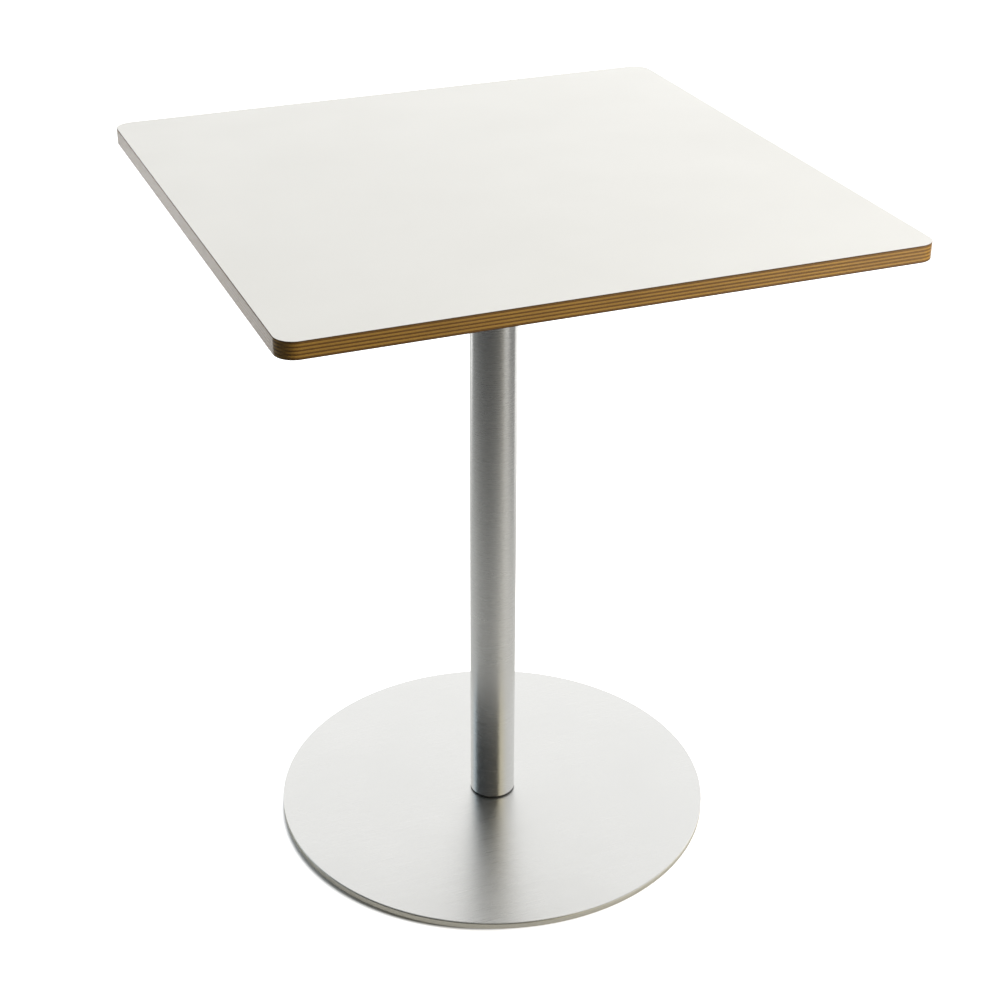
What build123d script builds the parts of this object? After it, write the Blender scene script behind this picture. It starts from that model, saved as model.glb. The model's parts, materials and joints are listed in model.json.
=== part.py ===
from build123d import *
import os

# Bistro table: a square laminated plywood top on one round column, standing on a
# heavy disc base with four levelling glides.
# Millimetres, +Z up. The origin is on the floor, under the centre of the column.
# X runs along the front edge of the top, Y points to the back.

# ---------------------------------------------------------------- driving dimensions

table_height = 720.0

# Top: a core of nine cross-laid veneers between two sheets of laminate.
top_side = 600.0
top_corner_radius = 18.0
laminate_thickness = 0.8
laminate_edge_bevel = 0.3
veneer_thickness = 1.6
veneer_count = 9

# Steel plate that carries the top.
top_plate_side = 240.0
top_plate_corner_radius = 10.0
top_plate_thickness = 5.0

# Four M6 screws hold the top to its plate, through threaded inserts in the core.
insert_spacing = 200.0
insert_diameter = 9.6
insert_length = 11.0
insert_recess = 0.2
insert_hole_diameter = 9.7
insert_hole_depth = 12.0
m6_shank_diameter = 5.9
m6_thread_diameter = 6.0
m6_clearance_diameter = 6.6
m6_length = 16.0
m6_head_diameter = 10.5
m6_head_height = 3.3
m6_key_width = 4.0
m6_key_depth = 2.0
m6_washer_diameter = 12.0
m6_washer_thickness = 1.6

# Column: a welded tube with a steel plug in each end.
column_diameter = 48.3
column_wall = 2.0
column_end_bevel = 0.3
plug_diameter = 44.2
plug_height = 20.0

# M8 countersunk screws, three into each plug.
m8_shank_diameter = 7.9
m8_thread_diameter = 8.0
m8_clearance_diameter = 8.4
m8_head_diameter = 15.8
m8_sink_diameter = 16.2
m8_head_recess = 0.1
m8_key_width = 5.0
m8_key_depth = 2.8
foot_screw_length = 25.0
head_screw_length = 20.0
foot_screw_circle_radius = 11.0
head_screw_circle_radius = 13.0
screws_per_plug = 3
first_screw_angle = 90.0
countersink_angle = 90.0
hexagon_sides = 6

# Black ring between the column and the base.
foot_ring_thickness = 2.0

# Disc base: a thin satin cover bonded on a steel plate.
base_diameter = 465.0
base_plate_thickness = 6.0
base_plate_edge_bevel = 0.4
bond_diameter = 461.0
bond_thickness = 0.8
cover_thickness = 0.8
cover_edge_radius = 0.4
spigot_hole_diameter = 34.0
spigot_diameter = 33.8

# Levelling glides: a nylon pad that swivels on a threaded stud.
glide_count = 4
glide_circle_radius = 205.0
glide_standoff = 4.4
pad_diameter = 28.0
pad_height = 4.1
pad_top_radius = 0.8
pad_bottom_bevel = 0.6
pad_hole_diameter = 6.15
pad_collar_recess_diameter = 15.6
pad_head_recess_diameter = 11.0
pad_head_recess_depth = 1.2
pad_web_thickness = 1.2
stud_head_diameter = 10.0
stud_head_bottom = 0.2
stud_neck_diameter = 6.0
stud_collar_width = 13.0
stud_gap = 0.1
stud_stop_gap = 0.05
stud_end_gap = 0.2
stud_end_bevel = 0.5
stud_key_width = 4.0
stud_key_depth = 2.0

# ------------------------------------------------------------------- derived levels

core_thickness = veneer_count * veneer_thickness
core_top = table_height - laminate_thickness
core_underside = core_top - core_thickness
top_underside = core_underside - laminate_thickness
bored_veneers = round((insert_hole_depth - laminate_thickness) / veneer_thickness)

top_plate_underside = top_underside - top_plate_thickness
column_top = top_plate_underside
column_bore_diameter = column_diameter - 2 * column_wall

base_plate_top = glide_standoff + base_plate_thickness
bond_top = base_plate_top + bond_thickness
base_top = bond_top + cover_thickness
column_bottom = base_top + foot_ring_thickness

pad_web_top = pad_head_recess_depth + pad_web_thickness
stud_head_top = pad_head_recess_depth - stud_gap
stud_collar_bottom = pad_web_top + stud_gap
stud_collar_top = glide_standoff - stud_stop_gap
stud_top = base_plate_top - stud_end_gap

base_underside = Plane.XY.offset(glide_standoff).rotated((180, 0, 0))

glide_spots = [
    Vector(glide_circle_radius, 0, 0).rotate(Axis.Z, 360 / glide_count * (index + 0.5))
    for index in range(glide_count)
]

os.makedirs("parts", exist_ok=True)


# ------------------------------------------------------------------------------- top

def veneer_set(first_layer):
    """Every second veneer of the core, counted upwards from its underside."""
    with BuildPart() as veneers:
        for layer in range(first_layer, veneer_count, 2):
            with BuildSketch(Plane.XY.offset(core_underside + layer * veneer_thickness)):
                RectangleRounded(top_side, top_side, top_corner_radius)
                if layer < bored_veneers:
                    with GridLocations(insert_spacing, insert_spacing, 2, 2):
                        Circle(insert_hole_diameter / 2, mode=Mode.SUBTRACT)
            extrude(amount=veneer_thickness)
    return veneers


# The outer sheet of laminate, with its upper edge eased.
with BuildPart() as top_laminate:
    with BuildSketch(Plane.XY.offset(core_top)):
        RectangleRounded(top_side, top_side, top_corner_radius)
    extrude(amount=laminate_thickness)
    chamfer(top_laminate.edges().group_by(Axis.Z)[-1], length=laminate_edge_bevel)
top_laminate.part.label = "top_laminate"
export_step(top_laminate.part, "parts/top_laminate.step")

# Odd veneers: their grain runs front to back, so the front edge shows their end grain.
cross_grain_veneers = veneer_set(0)
cross_grain_veneers.part.label = "cross_grain_veneers"
export_step(cross_grain_veneers.part, "parts/cross_grain_veneers.step")

# Even veneers: their grain runs along the front edge.
long_grain_veneers = veneer_set(1)
long_grain_veneers.part.label = "long_grain_veneers"
export_step(long_grain_veneers.part, "parts/long_grain_veneers.step")

# The balancing sheet under the core, bored for the inserts.
with BuildPart() as backing_laminate:
    with BuildSketch(Plane.XY.offset(top_underside)):
        RectangleRounded(top_side, top_side, top_corner_radius)
        with GridLocations(insert_spacing, insert_spacing, 2, 2):
            Circle(insert_hole_diameter / 2, mode=Mode.SUBTRACT)
    extrude(amount=laminate_thickness)
    underside = backing_laminate.faces().sort_by(Axis.Z)[0]
    chamfer(underside.outer_wire().edges(), length=laminate_edge_bevel)
backing_laminate.part.label = "backing_laminate"
export_step(backing_laminate.part, "parts/backing_laminate.step")

# Threaded inserts, one in each bored corner of the pattern.
with BuildPart() as top_inserts:
    with BuildSketch(Plane.XY.offset(top_underside + insert_recess)):
        with GridLocations(insert_spacing, insert_spacing, 2, 2):
            Circle(insert_diameter / 2)
            Circle(m6_thread_diameter / 2, mode=Mode.SUBTRACT)
    extrude(amount=insert_length)
top_inserts.part.label = "top_inserts"
export_step(top_inserts.part, "parts/top_inserts.step")

# -------------------------------------------------------------------- plate and screws

with BuildPart() as top_plate:
    with BuildSketch(Plane.XY.offset(top_plate_underside)):
        RectangleRounded(top_plate_side, top_plate_side, top_plate_corner_radius)
    extrude(amount=top_plate_thickness)
    with Locations(Plane.XY.offset(top_underside)):
        with GridLocations(insert_spacing, insert_spacing, 2, 2):
            Hole(m6_clearance_diameter / 2)
        with PolarLocations(head_screw_circle_radius, screws_per_plug, start_angle=first_screw_angle):
            CounterSinkHole(
                m8_clearance_diameter / 2, m8_sink_diameter / 2, counter_sink_angle=countersink_angle
            )
top_plate.part.label = "top_plate"
export_step(top_plate.part, "parts/top_plate.step")

with BuildPart() as top_screw_washers:
    with BuildSketch(Plane.XY.offset(top_plate_underside)):
        with GridLocations(insert_spacing, insert_spacing, 2, 2):
            Circle(m6_washer_diameter / 2)
            Circle(m6_clearance_diameter / 2, mode=Mode.SUBTRACT)
    extrude(amount=-m6_washer_thickness)
top_screw_washers.part.label = "top_screw_washers"
export_step(top_screw_washers.part, "parts/top_screw_washers.step")

# Button-head screws, driven up from below.
m6_head_top = top_plate_underside - m6_washer_thickness
with BuildPart() as top_screws:
    with BuildSketch(Plane.XY.offset(m6_head_top)):
        with GridLocations(insert_spacing, insert_spacing, 2, 2):
            Circle(m6_head_diameter / 2)
    extrude(amount=-m6_head_height)
    fillet(top_screws.edges().group_by(Axis.Z)[0], radius=m6_head_height / 2)
    with BuildSketch(Plane.XY.offset(m6_head_top - m6_head_height)):
        with GridLocations(insert_spacing, insert_spacing, 2, 2):
            RegularPolygon(m6_key_width / 2, hexagon_sides, major_radius=False)
    extrude(amount=m6_key_depth, mode=Mode.SUBTRACT)
    with BuildSketch(Plane.XY.offset(m6_head_top)):
        with GridLocations(insert_spacing, insert_spacing, 2, 2):
            Circle(m6_shank_diameter / 2)
    extrude(amount=m6_length)
top_screws.part.label = "top_screws"
export_step(top_screws.part, "parts/top_screws.step")


def countersunk_screw(length):
    """An M8 countersunk socket screw, its flat head at the origin, its shank down."""
    head_radius = m8_head_diameter / 2
    shank_radius = m8_shank_diameter / 2
    with BuildPart() as screw:
        with BuildSketch(Plane.XZ):
            with BuildLine():
                Polyline(
                    (0, 0),
                    (head_radius, 0),
                    (shank_radius, shank_radius - head_radius),
                    (shank_radius, -length),
                    (0, -length),
                    close=True,
                )
            make_face()
        revolve(axis=Axis.Z)
        with BuildSketch():
            RegularPolygon(m8_key_width / 2, hexagon_sides, major_radius=False)
        extrude(amount=-m8_key_depth, mode=Mode.SUBTRACT)
    return screw


head_screw = countersunk_screw(head_screw_length)
with BuildPart() as head_screws:
    with Locations(Plane.XY.offset(top_underside - m8_head_recess)):
        with PolarLocations(head_screw_circle_radius, screws_per_plug, start_angle=first_screw_angle):
            add(head_screw.part)
head_screws.part.label = "head_screws"
export_step(head_screws.part, "parts/head_screws.step")

# ---------------------------------------------------------------------------- column

with BuildPart() as column_tube:
    with BuildSketch(Plane.XY.offset(column_bottom)):
        Circle(column_diameter / 2)
        Circle(column_bore_diameter / 2, mode=Mode.SUBTRACT)
    extrude(amount=column_top - column_bottom)
    rims = column_tube.edges().filter_by(GeomType.CIRCLE).group_by(SortBy.RADIUS)[-1]
    chamfer(rims.sort_by(Axis.Z)[0], length=column_end_bevel)
column_tube.part.label = "column_tube"
export_step(column_tube.part, "parts/column_tube.step")

with BuildPart() as column_head_plug:
    with BuildSketch(Plane.XY.offset(column_top)):
        Circle(plug_diameter / 2)
        with PolarLocations(head_screw_circle_radius, screws_per_plug, start_angle=first_screw_angle):
            Circle(m8_thread_diameter / 2, mode=Mode.SUBTRACT)
    extrude(amount=-plug_height)
column_head_plug.part.label = "column_head_plug"
export_step(column_head_plug.part, "parts/column_head_plug.step")

# The foot plug has a spigot that passes the ring and the cover and stands on the plate.
with BuildPart() as column_foot_plug:
    with BuildSketch(Plane.XY.offset(column_bottom)):
        Circle(plug_diameter / 2)
    extrude(amount=plug_height)
    with BuildSketch(Plane.XY.offset(base_plate_top)):
        Circle(spigot_diameter / 2)
    extrude(amount=column_bottom - base_plate_top)
    with Locations(base_underside):
        with PolarLocations(foot_screw_circle_radius, screws_per_plug, start_angle=first_screw_angle):
            Hole(m8_thread_diameter / 2)
column_foot_plug.part.label = "column_foot_plug"
export_step(column_foot_plug.part, "parts/column_foot_plug.step")

with BuildPart() as column_foot_ring:
    with BuildSketch(Plane.XY.offset(base_top)):
        Circle(column_diameter / 2)
        Circle(spigot_hole_diameter / 2, mode=Mode.SUBTRACT)
    extrude(amount=foot_ring_thickness)
column_foot_ring.part.label = "column_foot_ring"
export_step(column_foot_ring.part, "parts/column_foot_ring.step")

# ------------------------------------------------------------------------------ base

with BuildPart() as base_cover:
    with BuildSketch(Plane.XY.offset(bond_top)):
        Circle(base_diameter / 2)
        Circle(spigot_hole_diameter / 2, mode=Mode.SUBTRACT)
    extrude(amount=cover_thickness)
    cover_rim = base_cover.edges().group_by(Axis.Z)[-1].sort_by(SortBy.RADIUS)[-1]
    fillet(cover_rim, radius=cover_edge_radius)
base_cover.part.label = "base_cover"
export_step(base_cover.part, "parts/base_cover.step")

with BuildPart() as base_bond_layer:
    with BuildSketch(Plane.XY.offset(base_plate_top)):
        Circle(bond_diameter / 2)
        Circle(spigot_hole_diameter / 2, mode=Mode.SUBTRACT)
    extrude(amount=bond_thickness)
base_bond_layer.part.label = "base_bond_layer"
export_step(base_bond_layer.part, "parts/base_bond_layer.step")

# The plate is countersunk from below for the column's screws and tapped for the glides.
with BuildPart() as base_plate:
    with BuildSketch(Plane.XY.offset(glide_standoff)):
        Circle(base_diameter / 2)
    extrude(amount=base_plate_thickness)
    chamfer(base_plate.edges(), length=base_plate_edge_bevel)
    with Locations(base_underside):
        with PolarLocations(foot_screw_circle_radius, screws_per_plug, start_angle=first_screw_angle):
            CounterSinkHole(
                m8_clearance_diameter / 2, m8_sink_diameter / 2, counter_sink_angle=countersink_angle
            )
        with PolarLocations(glide_circle_radius, glide_count, start_angle=180 / glide_count):
            Hole(m8_thread_diameter / 2)
base_plate.part.label = "base_plate"
export_step(base_plate.part, "parts/base_plate.step")

# The column's screws, driven up through the plate into the foot plug.
foot_screw = countersunk_screw(foot_screw_length)
with BuildPart() as base_screws:
    with Locations(base_underside.offset(-m8_head_recess)):
        with PolarLocations(foot_screw_circle_radius, screws_per_plug, start_angle=first_screw_angle):
            add(foot_screw.part)
base_screws.part.label = "base_screws"
export_step(base_screws.part, "parts/base_screws.step")

# ---------------------------------------------------------------------------- glides


def glide_pad_at(spot):
    """A nylon pad: a web between a recess for the stud's head and one for its collar."""
    with BuildPart() as pad:
        with BuildSketch(Plane(origin=spot)):
            Circle(pad_diameter / 2)
        extrude(amount=pad_height)
        fillet(pad.edges().group_by(Axis.Z)[-1], radius=pad_top_radius)
        chamfer(pad.edges().group_by(Axis.Z)[0], length=pad_bottom_bevel)
        with Locations(Plane(origin=spot).offset(pad_height)):
            CounterBoreHole(
                pad_hole_diameter / 2, pad_collar_recess_diameter / 2, pad_height - pad_web_top
            )
        with BuildSketch(Plane(origin=spot)):
            Circle(pad_head_recess_diameter / 2)
        extrude(amount=pad_head_recess_depth, mode=Mode.SUBTRACT)
    return pad


def glide_stud_at(spot):
    """A threaded stud: a riveted head under the web, a neck, a hexagon collar, a thread."""
    with BuildPart() as stud:
        with BuildSketch(Plane(origin=spot).offset(stud_head_bottom)):
            Circle(stud_head_diameter / 2)
        extrude(amount=stud_head_top - stud_head_bottom)
        with BuildSketch(Plane(origin=spot).offset(stud_head_top)):
            Circle(stud_neck_diameter / 2)
        extrude(amount=stud_collar_bottom - stud_head_top)
        with BuildSketch(Plane(origin=spot).offset(stud_collar_bottom)):
            RegularPolygon(stud_collar_width / 2, hexagon_sides, major_radius=False)
        extrude(amount=stud_collar_top - stud_collar_bottom)
        with BuildSketch(Plane(origin=spot).offset(stud_collar_top)):
            Circle(m8_shank_diameter / 2)
        extrude(amount=stud_top - stud_collar_top)
        chamfer(stud.edges().group_by(Axis.Z)[-1], length=stud_end_bevel)
        with BuildSketch(Plane(origin=spot).offset(stud_head_bottom)):
            RegularPolygon(stud_key_width / 2, hexagon_sides, major_radius=False)
        extrude(amount=stud_key_depth, mode=Mode.SUBTRACT)
    return stud


for number, glide_spot in enumerate(glide_spots, start=1):
    glide_pad = glide_pad_at(glide_spot)
    glide_pad.part.label = f"glide_pad_{number}"
    export_step(glide_pad.part, f"parts/glide_pad_{number}.step")

    glide_stud = glide_stud_at(glide_spot)
    glide_stud.part.label = f"glide_stud_{number}"
    export_step(glide_stud.part, f"parts/glide_stud_{number}.step")
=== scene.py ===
import json
import math

import bmesh
import bpy
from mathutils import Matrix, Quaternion, Vector

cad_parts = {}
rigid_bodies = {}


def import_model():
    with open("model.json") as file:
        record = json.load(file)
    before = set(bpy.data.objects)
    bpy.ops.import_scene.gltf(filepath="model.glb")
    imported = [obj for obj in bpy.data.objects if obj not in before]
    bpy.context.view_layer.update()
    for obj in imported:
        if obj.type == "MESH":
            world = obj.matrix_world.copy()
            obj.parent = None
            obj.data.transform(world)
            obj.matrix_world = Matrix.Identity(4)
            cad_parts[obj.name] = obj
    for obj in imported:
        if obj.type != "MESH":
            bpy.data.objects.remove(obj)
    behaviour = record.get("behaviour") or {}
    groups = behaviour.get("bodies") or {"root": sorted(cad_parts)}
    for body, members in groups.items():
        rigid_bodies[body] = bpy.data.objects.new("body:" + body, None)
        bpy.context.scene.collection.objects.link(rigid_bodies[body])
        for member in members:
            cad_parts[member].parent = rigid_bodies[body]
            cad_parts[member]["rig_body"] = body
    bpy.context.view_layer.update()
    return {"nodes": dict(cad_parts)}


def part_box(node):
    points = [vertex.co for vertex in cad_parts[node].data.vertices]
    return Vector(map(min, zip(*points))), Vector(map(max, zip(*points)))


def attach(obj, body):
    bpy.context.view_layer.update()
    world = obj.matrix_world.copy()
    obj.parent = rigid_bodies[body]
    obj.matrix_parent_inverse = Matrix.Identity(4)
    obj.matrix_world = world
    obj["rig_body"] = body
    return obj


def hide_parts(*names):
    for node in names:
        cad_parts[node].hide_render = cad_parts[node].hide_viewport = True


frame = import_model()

# Everything is in metres, in the table's own frame: +Z up, the front edge towards -Y.

# ------------------------------------------------------------------- measures of the frame

MM = 0.001
GLIDES = range(1, 5)
VENEERS = 9

CORE_LOW, CORE_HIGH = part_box("cross_grain_veneers")
FACE_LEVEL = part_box("top_laminate")[1].z
BACK_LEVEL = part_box("backing_laminate")[0].z
BASE_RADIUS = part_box("base_cover")[1].x
VENEER = (CORE_HIGH.z - CORE_LOW.z) / VENEERS


# ----------------------------------------------------------------------- node helpers

class Nodes:
    """A node tree, built by short calls that add and join nodes."""

    def __init__(self, tree):
        self.tree = tree

    def node(self, kind, inputs=None, **settings):
        """Add a node; inputs are values or other nodes' outputs, by name or number."""
        made = self.tree.nodes.new("ShaderNode" + kind)
        for name, value in settings.items():
            setattr(made, name, value)
        for name, value in (inputs or {}).items():
            if isinstance(value, bpy.types.NodeSocket):
                self.tree.links.new(value, made.inputs[name])
            else:
                made.inputs[name].default_value = value
        return made

    def math(self, operation, first, second=0.0, clamp=False):
        made = self.node("Math", {0: first, 1: second}, operation=operation, use_clamp=clamp)
        return made.outputs[0]

    def along(self, vector, way):
        """How far a vector goes along a direction."""
        made = self.node("VectorMath", {0: vector, 1: way}, operation="DOT_PRODUCT")
        return made.outputs["Value"]

    def place(self):
        """The point in the table's frame, in metres."""
        return self.node("TexCoord").outputs["Object"]

    def part(self, axis):
        """One coordinate of that point."""
        return self.node("SeparateXYZ", {0: self.place()}).outputs[axis]

    def stretched(self, scale, turn=0.0):
        """The point scaled by axis, for grain that is longer one way than the other."""
        return self.node(
            "Mapping", {"Vector": self.place(), "Scale": scale, "Rotation": (0, 0, turn)}
        ).outputs[0]

    def noise(self, where, scale, detail=3.0, roughness=0.5):
        return self.node(
            "TexNoise",
            {"Vector": where, "Scale": scale, "Detail": detail, "Roughness": roughness},
        ).outputs["Fac"]

    def between(self, value, low, high, new_low=0.0, new_high=1.0, smooth=False):
        """value from low..high as new_low..new_high, held at both ends."""
        made = self.node(
            "MapRange",
            {0: value, 1: low, 2: high, 3: new_low, 4: new_high},
            interpolation_type="SMOOTHSTEP" if smooth else "LINEAR",
        )
        return made.outputs[0]

    def mix(self, factor, first, second, blend="MIX"):
        """Two colours mixed; each is a colour or an output."""
        made = self.tree.nodes.new("ShaderNodeMix")
        made.data_type = "RGBA"
        made.blend_type = blend
        for socket, value in ((0, factor), (6, first), (7, second)):
            if isinstance(value, bpy.types.NodeSocket):
                self.tree.links.new(value, made.inputs[socket])
            elif socket == 0:
                made.inputs[0].default_value = value
            else:
                made.inputs[socket].default_value = (*value, 1.0)
        return made.outputs[2]


class Shader(Nodes):
    """A Principled material."""

    def __init__(self, name, **values):
        self.material = bpy.data.materials.new(name)
        self.material.use_nodes = True
        super().__init__(self.material.node_tree)
        self.surface = self.tree.nodes["Principled BSDF"]
        for socket, value in values.items():
            self.surface.inputs[socket.replace("_", " ")].default_value = value

    def set(self, socket, output):
        self.tree.links.new(output, self.surface.inputs[socket])

    def bump(self, height, strength, distance):
        made = self.node(
            "Bump", {"Height": height, "Strength": strength, "Distance": distance}
        )
        self.set("Normal", made.outputs[0])


def paint(node, shader):
    """Give a CAD node its material."""
    slots = frame["nodes"][node].data.materials
    slots.clear()
    slots.append(shader.material)


# --------------------------------------------------------------------------- materials

PAPER = 0.16 * MM                    # one sheet of a laminate's core
FACE_SKIN = (0.02 * MM, 0.04 * MM)   # where the coloured face ends and the core begins
FACE_ROUGHNESS = (0.33, 0.41)
CUT_ROUGHNESS = 0.75
FACE_SPECK = (0.55, 0.53, 0.49)
DARK_PAPER = (0.060, 0.030, 0.012)
LIGHT_PAPER = (0.110, 0.058, 0.024)

# Birch: each grain from dark to light, then what it is broken up with.
LONG_GRAIN = ((0.33, 0.175, 0.024), (0.56, 0.320, 0.066))
LONG_FLECK = (0.27, 0.13, 0.03)
END_GRAIN = ((0.11, 0.048, 0.006), (0.22, 0.110, 0.016))
END_PORE = (0.040, 0.018, 0.006)
DARKER_VENEER = (0.20, 0.095, 0.018)
BLOTCH = (0.16, 0.075, 0.014)
END_TURN = (0.40, 0.90)              # how squarely the fibres come out, from long to end grain


def laminate(name, face_level, colour, up):
    """Decorative laminate: a thin coloured face on a brown core of pressed paper."""
    shader = Shader(name, Specular_IOR_Level=0.5)
    height = shader.part("Z")
    depth = shader.math("SUBTRACT", face_level, height)
    if not up:
        depth = shader.math("SUBTRACT", height, face_level)
    tone = shader.noise(shader.place(), 14.0, 4.0)
    face = shader.mix(shader.between(tone, 0.3, 0.7), [c * 0.985 for c in colour], colour)
    speck = shader.noise(shader.place(), 900.0, 2.0)
    face = shader.mix(shader.between(speck, 0.62, 0.72, 0.0, 0.05), face, FACE_SPECK)
    papers = shader.math("SINE", shader.math("MULTIPLY", height, 2 * math.pi / PAPER))
    core = shader.mix(shader.between(papers, -1, 1), DARK_PAPER, LIGHT_PAPER)
    cut = shader.between(depth, *FACE_SKIN)
    shader.set("Base Color", shader.mix(cut, face, core))
    smears = shader.noise(shader.stretched((3.0, 5.0, 3.0), 0.6), 3.0, 5.0)
    polished = shader.between(smears, 0.25, 0.75, *FACE_ROUGHNESS)
    sawn = shader.between(cut, 0, 1, 0.0, CUT_ROUGHNESS)
    shader.set("Roughness", shader.math("MAXIMUM", polished, sawn))
    suede = shader.noise(shader.place(), 2600.0, 2.0, 0.6)
    shader.bump(suede, 0.10, 0.04 * MM)
    return shader


def birch(name, grain_axis):
    """Veneer seen at a sanded, lacquered edge: end grain where the fibres come out."""
    shader = Shader(name, Coat_Weight=0.80, Coat_Roughness=0.16, Specular_IOR_Level=0.3)
    place = shader.place()
    height = shader.math("SUBTRACT", shader.part("Z"), CORE_LOW.z)
    layer = shader.math("FLOOR", shader.math("DIVIDE", height, VENEER))
    tone = shader.node("TexWhiteNoise", {"W": layer}, noise_dimensions="1D").outputs["Value"]

    along = (2.5, 180.0, 900.0) if grain_axis == "X" else (180.0, 2.5, 900.0)
    fibres = shader.noise(shader.stretched(along), 4.0, 6.0, 0.6)
    long_grain = shader.mix(fibres, *LONG_GRAIN)
    flecks = shader.noise(shader.stretched([c * 3 for c in along]), 6.0, 2.0)
    flecked = shader.between(flecks, 0.62, 0.75, 0.0, 0.45)
    long_grain = shader.mix(flecked, long_grain, LONG_FLECK)

    pores = shader.node("TexVoronoi", {"Vector": place, "Scale": 2200.0}).outputs["Distance"]
    rays = shader.noise(place, 420.0, 4.0, 0.7)
    end_grain = shader.mix(rays, *END_GRAIN)
    pored = shader.between(pores, 0.05, 0.35, 0.5, 0.0)
    end_grain = shader.mix(pored, end_grain, END_PORE)

    normal = shader.node("NewGeometry").outputs["Normal"]
    facing = shader.math("ABSOLUTE", shader.node("SeparateXYZ", {0: normal}).outputs[grain_axis])
    wood = shader.mix(shader.between(facing, *END_TURN, smooth=True), long_grain, end_grain)
    wood = shader.mix(shader.between(tone, 0, 1, 0.0, 0.22), wood, DARKER_VENEER)
    blotch = shader.noise(place, 26.0, 3.0)
    wood = shader.mix(shader.between(blotch, 0.35, 0.7, 0.0, 0.25), wood, BLOTCH)
    shader.set("Base Color", wood)
    shader.set("Roughness", shader.between(fibres, 0.3, 0.7, 0.36, 0.52))
    shader.bump(shader.math("ADD", fibres, pores), 0.35, 0.06 * MM)
    return shader


def brushed(name, colour, roughness, spread, depth, scale, across, anisotropy):
    """Satin-brushed steel: fine scratches, longer than they are wide, and soft clouds.
    Reflections are smeared across the scratches, along the direction given."""
    shader = Shader(name, Metallic=1.0, Anisotropic=anisotropy)
    smear = shader.node("CombineXYZ", dict(enumerate(across)))
    shader.set("Tangent", smear.outputs[0])
    lines = shader.noise(shader.stretched(scale), 1.0, 5.0, 0.65)
    fine = shader.noise(shader.stretched([c * 3.1 for c in scale]), 1.0, 3.0, 0.6)
    clouds = shader.noise(shader.place(), 9.0, 4.0)
    darker = [c * 0.96 for c in colour]
    metal = shader.mix(shader.between(lines, 0.3, 0.7), darker, colour)
    metal = shader.mix(shader.between(clouds, 0.3, 0.7, 0.0, 0.25), metal, darker)
    shader.set("Base Color", metal)
    rough = shader.between(lines, 0.38, 0.62, roughness - spread, roughness + spread)
    rough = shader.math("ADD", rough, shader.between(clouds, 0.3, 0.7, -0.015, 0.015))
    shader.set("Roughness", rough)
    shader.bump(shader.math("ADD", lines, fine), depth, 0.02 * MM)
    return shader


def plain_metal(name, colour, roughness):
    """Plated or turned steel: a fine mottle in its colour and gloss."""
    shader = Shader(name, Metallic=1.0)
    mottle = shader.noise(shader.place(), 700.0, 4.0)
    shader.set("Base Color", shader.mix(mottle, [c * 0.8 for c in colour], colour))
    shader.set("Roughness", shader.between(mottle, 0.3, 0.7, roughness - 0.06, roughness + 0.06))
    shader.bump(mottle, 0.15, 0.03 * MM)
    return shader


def moulded(name, colour, roughness, grain, depth):
    """Plastic, rubber or powder coat: one colour with a fine pebbled skin."""
    shader = Shader(name, Specular_IOR_Level=0.5)
    pebbles = shader.noise(shader.place(), grain, 3.0, 0.6)
    wear = shader.noise(shader.place(), 60.0, 4.0)
    lighter = [min(1.0, c * 1.6 + 0.004) for c in colour]
    shader.set("Base Color", shader.mix(shader.between(wear, 0.4, 0.8), colour, lighter))
    shader.set("Roughness", shader.between(pebbles, 0.3, 0.7, roughness - 0.05, roughness + 0.08))
    shader.bump(pebbles, 0.3, depth)
    return shader


white_laminate = laminate("white_laminate", FACE_LEVEL, (0.775, 0.765, 0.735), up=True)
backing = laminate("backing_laminate", BACK_LEVEL, (0.72, 0.71, 0.68), up=False)
cross_grain = birch("birch_cross_grain", "Y")
long_grain = birch("birch_long_grain", "X")
column_steel = brushed(
    "column_steel",
    colour=(0.65, 0.65, 0.64),
    roughness=0.27,
    spread=0.012,
    depth=0.02,
    scale=(6.0, 6.0, 3600.0),
    across=(0, 0, 1),
    anisotropy=0.75,
)
cover_steel = brushed(
    "cover_steel",
    colour=(0.705, 0.705, 0.69),
    roughness=0.32,
    spread=0.05,
    depth=0.05,
    scale=(16.0, 3600.0, 16.0),
    across=(0, 1, 0),
    anisotropy=0.35,
)
plate_steel = plain_metal("plate_steel", (0.80, 0.775, 0.69), 0.38)
mill_steel = plain_metal("mill_steel", (0.36, 0.36, 0.36), 0.42)
zinc = plain_metal("zinc_plate", (0.60, 0.61, 0.64), 0.32)
powder = moulded("black_powder_coat", (0.016, 0.016, 0.017), 0.55, 2400.0, 0.08 * MM)
ring_black = moulded("black_ring", (0.008, 0.008, 0.008), 0.38, 1500.0, 0.02 * MM)
adhesive = moulded("black_adhesive", (0.012, 0.011, 0.009), 0.6, 1200.0, 0.04 * MM)
nylon = moulded("black_nylon", (0.022, 0.022, 0.023), 0.45, 1800.0, 0.04 * MM)

for node, shader in (
    ("top_laminate", white_laminate),
    ("backing_laminate", backing),
    ("cross_grain_veneers", cross_grain),
    ("long_grain_veneers", long_grain),
    ("top_plate", powder),
    ("column_tube", column_steel),
    ("column_head_plug", mill_steel),
    ("column_foot_plug", mill_steel),
    ("column_foot_ring", ring_black),
    ("base_cover", cover_steel),
    ("base_bond_layer", adhesive),
    ("base_plate", plate_steel),
):
    paint(node, shader)
for fastener in ("top_inserts", "top_screws", "top_screw_washers", "head_screws", "base_screws"):
    paint(fastener, zinc)
for number in GLIDES:
    paint(f"glide_pad_{number}", nylon)
    paint(f"glide_stud_{number}", zinc)

# ------------------------------------------------------------------- turned and cut pieces

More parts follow.
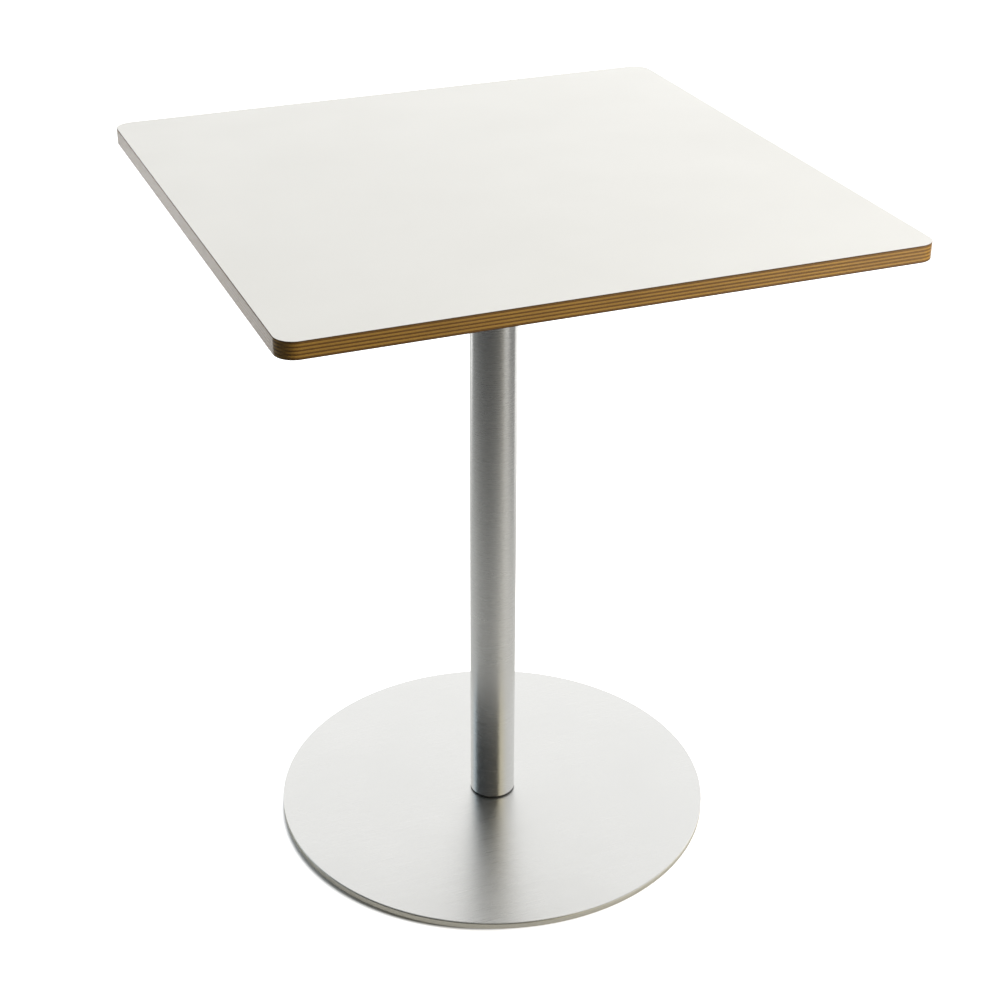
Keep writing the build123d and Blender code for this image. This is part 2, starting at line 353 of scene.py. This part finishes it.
STEPS = 48                           # points round a turned piece, a multiple of a hexagon's six
RINGS_PER_TURN = 6                   # of a screw thread
SHARP = math.radians(32.0)           # edges that turn more than this are drawn sharp
LEVEL = 0.9999                       # faces whose normal is this upright are drawn flat
KEEN = math.radians(60.0)            # edges that turn more than this are worked off
SAME_POINT = 1e-6                    # points of the CAD mesh closer than this are one
CORNER_STEPS = 4                     # of a rounded corner
FLANK_SLOPE = 1.35                   # how much steeper a thread's flanks are than a plain zigzag
LEAD_SLOPE = 0.8                     # how fast a screw narrows over its lead

# Rolled threads: pitch, radius of the crest and depth.
M8 = (1.25 * MM, 3.95 * MM, 0.70 * MM)
M6 = (1.00 * MM, 2.95 * MM, 0.56 * MM)
M6_BORE = (1.00 * MM, 3.30 * MM, 0.28 * MM)
M8_KEY = 5.0 * MM                    # across the flats of a countersunk screw's socket
M6_KEY = 4.0 * MM                    # of a button screw's socket
STUD_KEY = 4.0 * MM                  # of a glide stud's socket
COLLAR_FLATS = 13.0 * MM             # across the flats of a glide stud's collar


def solids(node):
    """The box of each separate solid of a CAD node, as lowest and highest corners."""
    mesh = bmesh.new()
    mesh.from_mesh(frame["nodes"][node].data)
    bmesh.ops.remove_doubles(mesh, verts=mesh.verts, dist=SAME_POINT)
    waiting = set(mesh.verts)
    boxes = []
    while waiting:
        reached = [waiting.pop()]
        for point in reached:
            for edge in point.link_edges:
                other = edge.other_vert(point)
                if other in waiting:
                    waiting.remove(other)
                    reached.append(other)
        corners = list(zip(*(point.co for point in reached)))
        boxes.append((Vector(map(min, corners)), Vector(map(max, corners))))
    mesh.free()
    return sorted(boxes, key=lambda box: (box[0].x, box[0].y))


def finished(name, mesh, shader, node):
    """Turn a bmesh into the piece that stands for a CAD node, on that node's body."""
    bmesh.ops.recalc_face_normals(mesh, faces=mesh.faces)
    mesh.normal_update()
    for face in mesh.faces:
        face.smooth = abs(face.normal.z) < LEVEL
    for edge in mesh.edges:
        edge.smooth = edge.calc_face_angle(0.0) < SHARP
    data = bpy.data.meshes.new(name)
    mesh.to_mesh(data)
    mesh.free()
    data.materials.append(shader.material)
    piece = bpy.data.objects.new(name, data)
    bpy.context.scene.collection.objects.link(piece)
    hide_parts(node)
    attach(piece, frame["nodes"][node]["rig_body"])
    return piece


def circle(radius):
    return lambda angle: radius


def hexagon(flats, corner_limit=math.inf):
    """A hexagon by its width across flats, its corners cut back to a limiting radius."""
    def reach(angle):
        off_flat = angle % (math.pi / 3) - math.pi / 6
        return min(flats / 2 / math.cos(off_flat), corner_limit)
    return reach


def thread(level, pitch, crest, depth, limit=math.inf):
    """The section of a right-hand thread at one level: flat crest, sloping flanks, flat root."""
    def reach(angle):
        phase = (level / pitch - angle / (2 * math.pi)) % 1.0
        zigzag = abs(2 * phase - 1)
        flank = min(1.0, max(0.0, (zigzag - 0.5) * FLANK_SLOPE + 0.5))
        return min(crest - depth * flank, limit)
    return reach


def threaded(low, high, pitch, crest, depth, lead=0.0):
    """The rings of a thread from low to high, narrowing over the lead at its high end."""
    count = max(2, round((high - low) / pitch * RINGS_PER_TURN))
    rings = []
    for index in range(count + 1):
        level = low + (high - low) * index / count
        narrowing = max(0.0, lead - (high - level)) * LEAD_SLOPE
        rings.append((level, thread(level, pitch, crest, depth, crest - narrowing)))
    return rings


def rounded(level, radius, corner, start, end):
    """Rings round a corner whose centre is inside by its radius, from one angle to another."""
    rings = []
    for index in range(CORNER_STEPS + 1):
        turn = math.radians(start + (end - start) * index / CORNER_STEPS)
        rings.append((level + corner * math.sin(turn), circle(radius + corner * math.cos(turn))))
    return rings


def rolled_rim(rim, height, low_edge, high_edge):
    """The rings of an outer rim, its two edges rolled to radii of their own."""
    rings = rounded(low_edge, rim - low_edge, low_edge, -90, 0)
    return rings + rounded(height - high_edge, rim - high_edge, high_edge, 0, 90)


def socket(key, depth, mouth, widening):
    """The rings of a hexagon socket, from its floor to its chamfered mouth."""
    return [
        (depth, hexagon(key)),
        (mouth, hexagon(key)),
        (0.0, hexagon(key + widening)),
    ]


def turned(mesh, centre, rings, hollow=False, flip=False):
    """Add a solid made of rings, each a level above the centre and a radius at every angle.
    A hollow one joins its last ring to its first, others are capped; flip turns it head down."""
    loops = []
    for level, reach in rings:
        loop = []
        for step in range(STEPS):
            angle = 2 * math.pi * step / STEPS
            side = reach(-angle if flip else angle)
            height = -level if flip else level
            spoke = Vector((math.cos(angle) * side, math.sin(angle) * side, height))
            loop.append(mesh.verts.new(centre + spoke))
        loops.append(loop)
    pairs = list(zip(loops, loops[1:]))
    if hollow:
        pairs.append((loops[-1], loops[0]))
    else:
        mesh.faces.new(loops[0])
        mesh.faces.new(loops[-1])
    for below, above in pairs:
        for step in range(STEPS):
            after = (step + 1) % STEPS
            mesh.faces.new((below[step], below[after], above[after], above[step]))


def axis_of(low, high, level):
    """The point on a solid's upright axis at a level."""
    return Vector(((low.x + high.x) / 2, (low.y + high.y) / 2, level))


def eased(node, shader, width):
    """A CAD node's own shape with its sharp edges worked off."""
    mesh = bmesh.new()
    mesh.from_mesh(frame["nodes"][node].data)
    bmesh.ops.remove_doubles(mesh, verts=mesh.verts, dist=SAME_POINT)
    keen = [edge for edge in mesh.edges if edge.calc_face_angle(0.0) > KEEN]
    bmesh.ops.bevel(
        mesh,
        geom=keen,
        offset=width,
        segments=2,
        profile=0.5,
        affect="EDGES",
        clamp_overlap=True,
    )
    return finished(f"{node}_detailed", mesh, shader, node)


def countersunk_screws(node, head_down):
    """M8 countersunk socket screws with a rolled thread."""
    mesh = bmesh.new()
    pitch, shank, depth = M8
    for low, high in solids(node):
        length = high.z - low.z
        head = (high.x - low.x) / 2
        cone_end = head - shank
        rings = socket(M8_KEY, depth=2.8 * MM, mouth=0.25 * MM, widening=0.6 * MM)
        rings += [
            (0.0, circle(head - 0.5 * MM)),
            (0.1 * MM, circle(head - 0.2 * MM)),
            (0.3 * MM, circle(head - 0.3 * MM)),
            (cone_end, circle(shank)),
            (cone_end + 0.6 * MM, circle(shank)),
        ]
        rings += threaded(cone_end + 0.9 * MM, length, pitch, shank, depth, lead=1.2 * MM)
        face = axis_of(low, high, low.z if head_down else high.z)
        turned(mesh, face, rings, flip=not head_down)
    return finished(f"{node}_threaded", mesh, zinc, node)


def button_screws():
    """M6 button-head socket screws, heads down."""
    mesh = bmesh.new()
    pitch, shank, depth = M6
    head_height = 3.3 * MM
    crown = 1.65 * MM
    edge = 0.15 * MM
    for low, high in solids("top_screws"):
        length = high.z - low.z
        head = (high.x - low.x) / 2
        rings = socket(M6_KEY, depth=2.0 * MM, mouth=0.2 * MM, widening=0.5 * MM)
        rings += rolled_rim(head, head_height, crown, edge)
        rings += [(head_height, circle(shank)), (head_height + 0.5 * MM, circle(shank))]
        rings += threaded(head_height + 0.8 * MM, length, pitch, shank, depth, lead=1.0 * MM)
        turned(mesh, axis_of(low, high, low.z), rings)
    return finished("top_screws_threaded", mesh, zinc, "top_screws")


def washers():
    """Flat washers with their stamped edges rolled over."""
    mesh = bmesh.new()
    bore = 3.3 * MM
    edge = 0.2 * MM
    for low, high in solids("top_screw_washers"):
        height = high.z - low.z
        rim = (high.x - low.x) / 2
        rings = rolled_rim(rim, height, edge, edge)
        rings += rounded(height - edge, bore + edge, edge, 90, 180)
        rings += rounded(edge, bore + edge, edge, 180, 270)
        turned(mesh, axis_of(low, high, low.z), rings, hollow=True)
    return finished("top_screw_washers_rolled", mesh, zinc, "top_screw_washers")


def inserts():
    """Threaded inserts: a coarse thread that bites into the core outside, an M6 bore inside."""
    mesh = bmesh.new()
    for low, high in solids("top_inserts"):
        height = high.z - low.z
        rim = (high.x - low.x) / 2
        rings = [(0.0, circle(rim - 0.5 * MM)), (0.3 * MM, circle(rim - 0.1 * MM))]
        rings += threaded(0.5 * MM, height - 0.1 * MM, 2.5 * MM, rim, 0.9 * MM, lead=0.8 * MM)
        bore = threaded(0.4 * MM, height - 0.4 * MM, *M6_BORE)
        rings += [(height, circle(3.8 * MM)), (height, circle(3.4 * MM))]
        rings += list(reversed(bore))
        rings += [(0.0, circle(3.4 * MM))]
        turned(mesh, axis_of(low, high, low.z), rings, hollow=True)
    return finished("top_inserts_threaded", mesh, zinc, "top_inserts")


def foot_ring():
    """The black ring, its outer edges softened."""
    mesh = bmesh.new()
    (low, high), = solids("column_foot_ring")
    height = high.z - low.z
    rim = (high.x - low.x) / 2
    bore = 17.0 * MM
    edge = 0.35 * MM
    rings = rolled_rim(rim, height, edge, edge)
    rings += [(height, circle(bore)), (0.0, circle(bore))]
    turned(mesh, axis_of(low, high, low.z), rings, hollow=True)
    return finished("column_foot_ring_soft", mesh, ring_black, "column_foot_ring")


def glide_pad(number):
    """A moulded pad: rolled edges, a recess over and under its web, and rings on its sole."""
    node = f"glide_pad_{number}"
    mesh = bmesh.new()
    (low, high), = solids(node)
    height = high.z - low.z
    rim = (high.x - low.x) / 2
    sole_edge = 0.6 * MM
    top_edge = 0.8 * MM
    lip = 0.25 * MM
    top_recess = 7.8 * MM
    sole_recess = 5.5 * MM
    web_low = 1.2 * MM
    web_high = 2.4 * MM
    bore = 3.075 * MM
    bore_mouth = 3.3 * MM
    rings = [(0.0, circle(6.1 * MM))]
    for groove in (8.0 * MM, 10.2 * MM):
        for step, level in ((-0.35, 0.0), (-0.15, 0.35), (0.15, 0.35), (0.35, 0.0)):
            rings.append((level * MM, circle(groove + step * MM)))
    rings += rolled_rim(rim, height, sole_edge, top_edge)
    rings += rounded(height - lip, top_recess + lip, lip, 90, 180)
    rings += [
        (web_high, circle(top_recess)),
        (web_high, circle(bore_mouth)),
        (web_high - 0.2 * MM, circle(bore)),
        (web_low + 0.2 * MM, circle(bore)),
        (web_low, circle(bore_mouth)),
        (web_low, circle(sole_recess)),
        (0.3 * MM, circle(sole_recess)),
        (0.0, circle(sole_recess + 0.3 * MM)),
    ]
    turned(mesh, axis_of(low, high, low.z), rings, hollow=True)
    return finished(f"{node}_moulded", mesh, nylon, node)


def glide_stud(number):
    """A stud: riveted head with its key socket, neck, hexagon collar with cut corners, thread."""
    node = f"glide_stud_{number}"
    mesh = bmesh.new()
    (low, high), = solids(node)
    length = high.z - low.z
    pitch, crest, depth = M8
    head = 5.0 * MM
    head_height = 0.9 * MM
    neck = 3.0 * MM
    collar_low = 2.3 * MM
    collar_high = 4.15 * MM
    collar_cut = 0.45 * MM
    corner = 7.15 * MM
    cut_corner = 6.4 * MM
    rings = socket(STUD_KEY, depth=2.0 * MM, mouth=0.2 * MM, widening=0.4 * MM)
    rings += [
        (0.0, circle(head - 0.4 * MM)),
        (0.2 * MM, circle(head - 0.05 * MM)),
        (head_height - 0.2 * MM, circle(head)),
        (head_height, circle(head - 0.15 * MM)),
        (head_height, circle(neck)),
        (collar_low, circle(neck)),
        (collar_low, hexagon(COLLAR_FLATS, cut_corner)),
        (collar_low + collar_cut, hexagon(COLLAR_FLATS, corner)),
        (collar_high - collar_cut, hexagon(COLLAR_FLATS, corner)),
        (collar_high, hexagon(COLLAR_FLATS, cut_corner)),
        (collar_high, circle(3.6 * MM)),
        (collar_high + 0.4 * MM, circle(3.3 * MM)),
    ]
    rings += threaded(collar_high + 0.6 * MM, length, pitch, crest, depth, lead=1.0 * MM)
    turned(mesh, axis_of(low, high, low.z), rings)
    return finished(f"{node}_threaded", mesh, zinc, node)


eased("cross_grain_veneers", cross_grain, 0.12 * MM)
eased("long_grain_veneers", long_grain, 0.12 * MM)
eased("top_plate", powder, 0.4 * MM)
eased("column_head_plug", mill_steel, 0.5 * MM)
eased("column_foot_plug", mill_steel, 0.5 * MM)
countersunk_screws("head_screws", head_down=False)
countersunk_screws("base_screws", head_down=True)
button_screws()
washers()
inserts()
foot_ring()
for number in GLIDES:
    glide_pad(number)
    glide_stud(number)

# ------------------------------------------------------------------------ floor and light

def compass(degrees):
    """The level direction that many degrees from -Y, towards +X."""
    turn = math.radians(degrees)
    return (math.sin(turn), -math.cos(turn), 0.0)


WALL_DARK_WAY = compass(-52.0)       # the unlit side of the studio
WARM_WAY = compass(38.0)             # across it, towards its warmer end
FLOOR_DARK_WAY = compass(-40.0)      # where the floor's colour in reflections is painted darkest
FLOOR_BRIGHT_WAY = compass(163.0)    # and painted brightest
SHADOW_WAY = compass(-80.0)          # where the shadow painted on the floor under the base leans
SHADOW_SHIFT = 0.014                 # how far it leans
SHADOW_INSET = 0.014                 # how far inside the rim the painted shadow under the base ends
SHADOW_SOFT = 0.004                  # how wide the edge of that shadow is
FLOOR_SIZE = 14.0
FLOOR_WHITE = 0.86
FLOOR_GLOW = 0.80                    # evens out the floor that the camera sees
PAINTED_SHADOW_GLOW = 0.12                    # of the floor inside the painted shadow under the base, in reflections
# The floor's colour in reflections, painted with a pool of light and painted shade: from where to
# where each change runs, in metres from the table.
PAINTED_POOL_FADE = (0.4, 1.8)               # the painted pool of light fades outwards
DARK_FADE = (0.03, 1.12)             # and towards FLOOR_DARK_WAY
RIGHT_FADE = (0.15, 0.9)             # and, a little, to the right
FAR_START = (0.55, 1.05)             # the floor painted brighter behind the table begins
FAR_TURN = (0.40, 0.52)              # and its sides, as the cosine off FLOOR_BRIGHT_WAY
FAR_RIGHT = (-0.6, 1.1)              # and it is painted brighter to the right
FAR_WHITE = ((0.50, 0.50, 0.50), (0.95, 0.95, 0.95))   # from left to right
FAR_GLOW = ((0.06, 0.06, 0.06), (0.30, 0.30, 0.30))
NEAR_GLOW = (0.03, 0.03, 0.03)
BLACK = (0.0, 0.0, 0.0)
# Glowing patches painted on the floor, seen in reflections and not by the camera: middle, half
# the size, softness of the edge, and glow.
BACK_GLOW_PATCH = ((-0.75, 1.95), (0.25, 0.95), 0.10, 1.35)    # mirrored by the left edge of the top
FRONT_GLOW_PATCH = ((1.75, -1.90), (0.75, 0.50), 0.30, 2.20)   # mirrored by the front edge's right end

# The walls and the sky, by the cosine off WALL_DARK_WAY and by height, 0 level to 1 overhead.
WALL_WHITE = (1.30, 1.27, 1.22)
BACK_WALL_WHITE = (1.46, 1.46, 1.46)
OVERHEAD_WHITE = (0.89, 0.89, 0.89)
UNLIT_LOW = (0.30, 0.30, 0.30)       # the unlit wall near the floor
UNLIT_HIGH = (0.01, 0.01, 0.01)      # and higher up
UNLIT_RISE = (0.05, 0.33)            # the heights between which it darkens
UNLIT_TOP = (0.78, 0.96)             # where it gives way to the sky
UNLIT_TURN = (0.33, 0.50)            # where its sides are
BACK_TURN = (0.2, -0.6)              # from the side walls round to the one behind
OVERHEAD_RISE = (0.35, 0.95)         # from the walls up to the sky overhead
WARM_TINT = (1.07, 0.98, 0.72)
COOL_TINT = (0.77, 0.96, 1.13)
SEEN_WHITE = (1.0, 1.0, 1.0)         # what the camera itself sees


def on_glow_patch(shader, middle, half, soft):
    """1 where the floor has a glowing painted patch, 0 off it, with a soft edge between."""
    inside = 1.0
    for axis, centre, reach in zip("XY", middle, half):
        off = shader.math("ABSOLUTE", shader.math("SUBTRACT", shader.part(axis), centre))
        covered = shader.between(off, reach - soft, reach + soft, 1.0, 0.0)
        inside = shader.math("MULTIPLY", covered, inside)
    return inside


def studio_floor():
    """A floor that is plain and pale to the eye, and clear from below, with a painted shadow
    under the base. In reflections it has a painted pool of light round the table, painted shade
    at the front left, painted brightness behind and glowing painted patches."""
    bpy.ops.mesh.primitive_plane_add(size=FLOOR_SIZE)
    floor = bpy.context.object
    floor.name = "studio_floor"
    shader = Shader("studio_floor", Roughness=0.8, Specular_IOR_Level=0.1, Emission_Strength=1.0)
    place = shader.place()
    towards = shader.along(place, FLOOR_DARK_WAY)
    reach = shader.node("VectorMath", {0: place}, operation="LENGTH").outputs["Value"]
    # Painted light and shade: the floor's colour in reflections fades outwards, towards the front
    # left and a little to the right.
    painted_pool = shader.between(reach, *PAINTED_POOL_FADE, 1.0, 0.1)
    painted_pool = shader.math("MULTIPLY", painted_pool, shader.between(towards, *DARK_FADE, 0.80, 0.1))
    painted_pool = shader.math("MULTIPLY", painted_pool, shader.between(shader.part("X"), *RIGHT_FADE, 1.0, 0.7))
    # Painted brightness on the floor behind the table, brighter to the right, with a painted glow
    # of its own.
    bearing = shader.node("VectorMath", {0: place}, operation="NORMALIZE").outputs["Vector"]
    facing = shader.along(bearing, FLOOR_BRIGHT_WAY)
    beyond = shader.between(reach, *FAR_START)
    behind = shader.math("MULTIPLY", shader.between(facing, *FAR_TURN), beyond)
    reflected = shader.mix(painted_pool, BLACK, (FLOOR_WHITE, FLOOR_WHITE, 0.85))
    right = shader.between(shader.part("X"), *FAR_RIGHT)
    far_side = shader.mix(right, *FAR_WHITE)
    reflected = shader.mix(behind, reflected, far_side)
    glow = shader.mix(right, *FAR_GLOW)
    glow = shader.mix(behind, NEAR_GLOW, glow)
    # Glowing patches painted on the floor, which the edges of the top mirror as painted
    # highlights.
    for middle, half, soft, level in (BACK_GLOW_PATCH, FRONT_GLOW_PATCH):
        glow = shader.mix(on_glow_patch(shader, middle, half, soft), glow, [level] * 3)
    # Painted shadow under the base: inside a circle a little smaller than the base, shifted along
    # SHADOW_WAY, the floor's glow is taken away.
    shadow_centre = [c * SHADOW_SHIFT for c in SHADOW_WAY]
    under = shader.node("VectorMath", {0: place, 1: shadow_centre}, operation="DISTANCE")
    shadow_edge = BASE_RADIUS - SHADOW_INSET
    outside_painted_shadow = shader.between(under.outputs["Value"], shadow_edge, shadow_edge + SHADOW_SOFT)
    seen = shader.node("LightPath").outputs["Is Camera Ray"]
    glow = shader.mix(seen, glow, [FLOOR_GLOW] * 3)
    unlit = shader.mix(seen, [PAINTED_SHADOW_GLOW] * 3, BLACK)
    shader.set("Base Color", shader.mix(seen, reflected, [FLOOR_WHITE] * 3))
    shader.set("Emission Color", shader.mix(outside_painted_shadow, unlit, glow))
    below = shader.node("NewGeometry").outputs["Backfacing"]
    clear = shader.node("BsdfTransparent").outputs[0]
    both = shader.node("MixShader", {0: below, 1: shader.surface.outputs[0], 2: clear})
    shader.tree.links.new(both.outputs[0], shader.tree.nodes["Material Output"].inputs["Surface"])
    floor.data.materials.append(shader.material)


def studio_light():
    """An even white studio, brighter behind the table, with one unlit side."""
    world = bpy.data.worlds.new("studio")
    bpy.context.scene.world = world
    world.use_nodes = True
    sky = Nodes(world.node_tree)
    way = sky.node("TexCoord").outputs["Generated"]
    parts = sky.node("SeparateXYZ", {0: way})
    flat = sky.node("CombineXYZ", {0: parts.outputs["X"], 1: parts.outputs["Y"], 2: 0.0})
    level = sky.node("VectorMath", {0: flat.outputs[0]}, operation="NORMALIZE").outputs[0]
    facing = sky.along(level, WALL_DARK_WAY)
    rise = parts.outputs["Z"]
    side = sky.between(facing, *UNLIT_TURN, smooth=True)
    low = sky.between(rise, *UNLIT_TOP, 1.0, 0.0, smooth=True)
    dark = sky.math("MULTIPLY", side, low)
    behind = sky.between(facing, *BACK_TURN, smooth=True)
    zenith = sky.between(rise, *OVERHEAD_RISE, smooth=True)
    bright = sky.mix(behind, WALL_WHITE, BACK_WALL_WHITE)
    bright = sky.mix(zenith, bright, OVERHEAD_WHITE)
    unlit = sky.mix(sky.between(rise, *UNLIT_RISE), UNLIT_LOW, UNLIT_HIGH)
    light = sky.mix(dark, bright, unlit)
    across = sky.along(level, WARM_WAY)
    warm = sky.math("MULTIPLY", sky.between(across, 0.2, 0.9), sky.between(facing, -0.3, 0.3))
    light = sky.mix(warm, light, WARM_TINT, blend="MULTIPLY")
    cool = sky.math("MULTIPLY", sky.between(across, 0.1, -0.8), sky.between(facing, -0.1, 0.3))
    light = sky.mix(cool, light, COOL_TINT, blend="MULTIPLY")
    seen = sky.node("LightPath").outputs["Is Camera Ray"]
    light = sky.mix(seen, light, SEEN_WHITE)
    sky.tree.links.new(light, sky.tree.nodes["Background"].inputs["Color"])


def softbox(name, place, aim, size, power, colour):
    """A lamp with a soft edge to its shadows, turned to a point and not seen in reflections."""
    data = bpy.data.lights.new(name, "AREA")
    data.shape = "RECTANGLE"
    data.size, data.size_y = size
    data.energy = power
    data.color = colour
    lamp = bpy.data.objects.new(name, data)
    lamp.location = place
    lamp.rotation_mode = "QUATERNION"
    lamp.rotation_quaternion = (Vector(aim) - Vector(place)).to_track_quat("-Z", "Y")
    bpy.context.scene.collection.objects.link(lamp)
    lamp.visible_camera = False
    lamp.visible_glossy = False


studio_floor()
studio_light()
softbox(
    "front_right",
    place=(1.00, -1.05, 0.88),
    aim=(0.0, 0.0, 0.45),
    size=(0.45, 0.90),
    power=13.0,
    colour=(1.0, 0.95, 0.88),
)
softbox(
    "back_right",
    place=(1.10, 1.35, 1.30),
    aim=(0.0, 0.0, FACE_LEVEL),
    size=(0.60, 0.60),
    power=12.0,
    colour=(1.0, 1.0, 0.99),
)
bpy.context.scene.view_settings.view_transform = "Standard"

# ---------------------------------------------------------------------------- camera

AZIMUTH = math.radians(-21.83)       # from -Y, towards +X
ELEVATION = math.radians(28.08)
ROLL = math.radians(0.17)
CAMERA_PLACE = (-0.66313, -1.65202, 1.33313)
SENSOR = 36.0
LENS = 71.73


def photograph_camera():
    """The camera, at the photograph's place and with its field of view."""
    back = Vector((
        math.sin(AZIMUTH) * math.cos(ELEVATION),
        -math.cos(AZIMUTH) * math.cos(ELEVATION),
        math.sin(ELEVATION),
    ))
    data = bpy.data.cameras.new("camera")
    data.sensor_width = SENSOR
    data.lens = LENS
    camera = bpy.data.objects.new("camera", data)
    camera.location = CAMERA_PLACE
    camera.rotation_mode = "QUATERNION"
    camera.rotation_quaternion = (-back).to_track_quat("-Z", "Y") @ Quaternion((0, 0, 1), ROLL)
    bpy.context.scene.collection.objects.link(camera)
    bpy.context.scene.camera = camera


photograph_camera()
